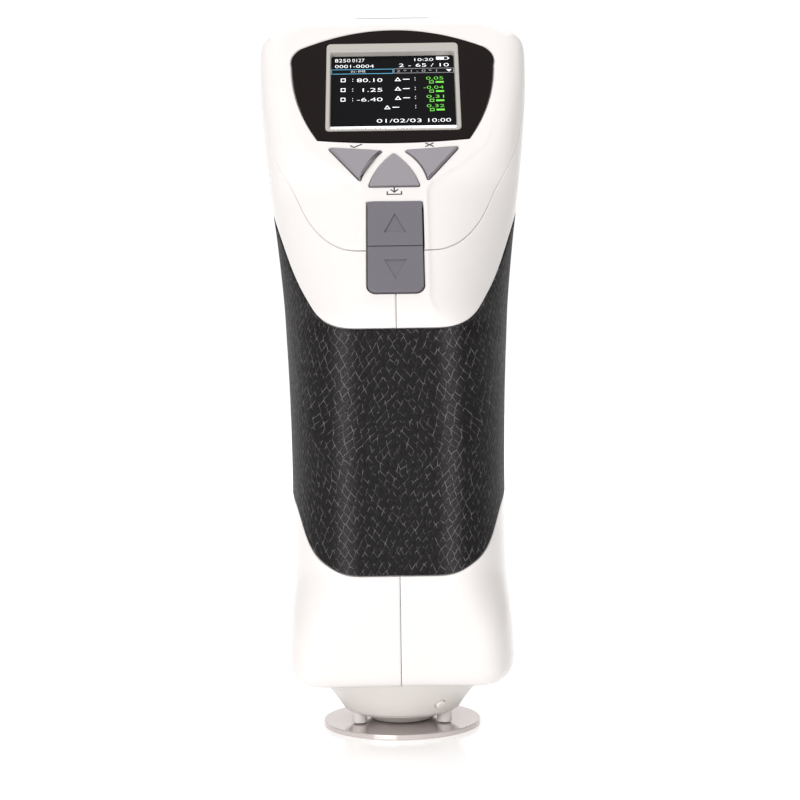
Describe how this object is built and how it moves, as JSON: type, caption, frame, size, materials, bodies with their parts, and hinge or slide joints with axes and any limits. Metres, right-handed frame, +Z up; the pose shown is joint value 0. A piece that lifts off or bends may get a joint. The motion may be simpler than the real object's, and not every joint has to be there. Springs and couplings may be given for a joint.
{
  "type": "handheld colorimeter",
  "caption": "Upright handheld colorimeter with tilted display head, arrow and menu keys, leather grip, measuring nose and round locating plate.",
  "frame": {"origin": "on the rest plane under the middle of the bounding box, on the measuring axis", "axes": "+Z up along the measuring axis, front with display and keys towards -Y, +X to the right as seen from the front"},
  "size_m": [0.0802, 0.0724, 0.2117],
  "materials": {
    "white_shell": "smooth glossy",
    "black_leather": "pebbled grain",
    "panel_black": "glossy",
    "rim_grey": "satin",
    "screen": "glossy",
    "key_grey": "matte",
    "arrow_key_grey": "matte",
    "nose_white": "satin",
    "plate_metal": "polished",
    "board_green": "solder mask",
    "sphere_white": "matte white",
    "chassis_grey": "matte",
    "bright_steel": "bright",
    "cell_sleeve": "shrink sleeve",
    "soft_rubber": "matte",
    "lens_glass": "clear"
  },
  "bodies": {
    "case": {"battery_cell": "cell_sleeve", "battery_contact_high": "bright_steel", "battery_contact_low": "bright_steel", "battery_cradle": "chassis_grey", "bayonet_ring": "chassis_grey", "buzzer": "panel_black", "chassis": "chassis_grey", "display_board": "board_green", "display_panel": "panel_black", "display_rim": "rim_grey", "front_cover": "white_shell", "key_board": "board_green", "key_mat": "soft_rubber", "lamp_board": "board_green", "lcd_module": "screen", "leather_grip": "black_leather", "left_shell": "white_shell", "lens": "lens_glass", "lens_barrel": "panel_black", "main_board": "board_green", "optics_deck": "chassis_grey", "power_switch_body": "bright_steel", "processor_shield": "bright_steel", "rear_board": "board_green", "right_shell": "white_shell", "sensor_board": "board_green", "shell_screw_1": "bright_steel", "shell_screw_2": "bright_steel", "shell_screw_3": "bright_steel", "sphere_lower": "sphere_white", "sphere_upper": "sphere_white", "test_switch": "panel_black", "usb_socket": "bright_steel"},
    "enter_key": {"enter_key": "key_grey"},
    "cancel_key": {"cancel_key": "key_grey"},
    "save_key": {"save_key": "key_grey"},
    "up_key": {"up_key": "arrow_key_grey"},
    "down_key": {"down_key": "arrow_key_grey"},
    "test_button": {"test_button": "key_grey"},
    "power_switch": {"power_switch": "panel_black"},
    "port_cover": {"port_cover": "soft_rubber"},
    "nose": {"nose_bowl": "nose_white", "port_tube": "panel_black", "locating_plate": "plate_metal", "plate_post_1": "nose_white", "plate_post_2": "nose_white", "plate_post_3": "nose_white", "alignment_dot": "nose_white"}
  },
  "joints": [
    {"name": "enter_key_press", "type": "slide", "parent": "case", "child": "enter_key", "axis": [0, 0.866, -0.5], "range_m": [0, 0.0008], "stiffness_N_per_m": 600},
    {"name": "cancel_key_press", "type": "slide", "parent": "case", "child": "cancel_key", "axis": [0, 0.866, -0.5], "range_m": [0, 0.0008], "stiffness_N_per_m": 600},
    {"name": "save_key_press", "type": "slide", "parent": "case", "child": "save_key", "axis": [0, 0.866, -0.5], "range_m": [0, 0.0008], "stiffness_N_per_m": 600},
    {"name": "up_key_press", "type": "slide", "parent": "case", "child": "up_key", "axis": [0, 0.866, -0.5], "range_m": [0, 0.0008], "stiffness_N_per_m": 600},
    {"name": "down_key_press", "type": "slide", "parent": "case", "child": "down_key", "axis": [0, 0.866, -0.5], "range_m": [0, 0.0008], "stiffness_N_per_m": 600},
    {"name": "test_press", "type": "slide", "parent": "case", "child": "test_button", "axis": [0, -1, 0], "range_m": [0, 0.0008], "stiffness_N_per_m": 600},
    {"name": "power_slide", "type": "slide", "parent": "case", "child": "power_switch", "axis": [1, 0, 0], "range_m": [0, 0.003]},
    {"name": "port_cover_hinge", "type": "hinge", "parent": "case", "child": "port_cover", "pos_m": [-0.01925, 0.03409, 0.192], "axis": [0, 0, 1], "range_deg": [0, 110]},
    {"name": "nose_twist", "type": "hinge", "parent": "case", "child": "nose", "pos_m": [0, 0, 0], "axis": [0, 0, 1], "range_deg": [0, 35]}
  ]
}
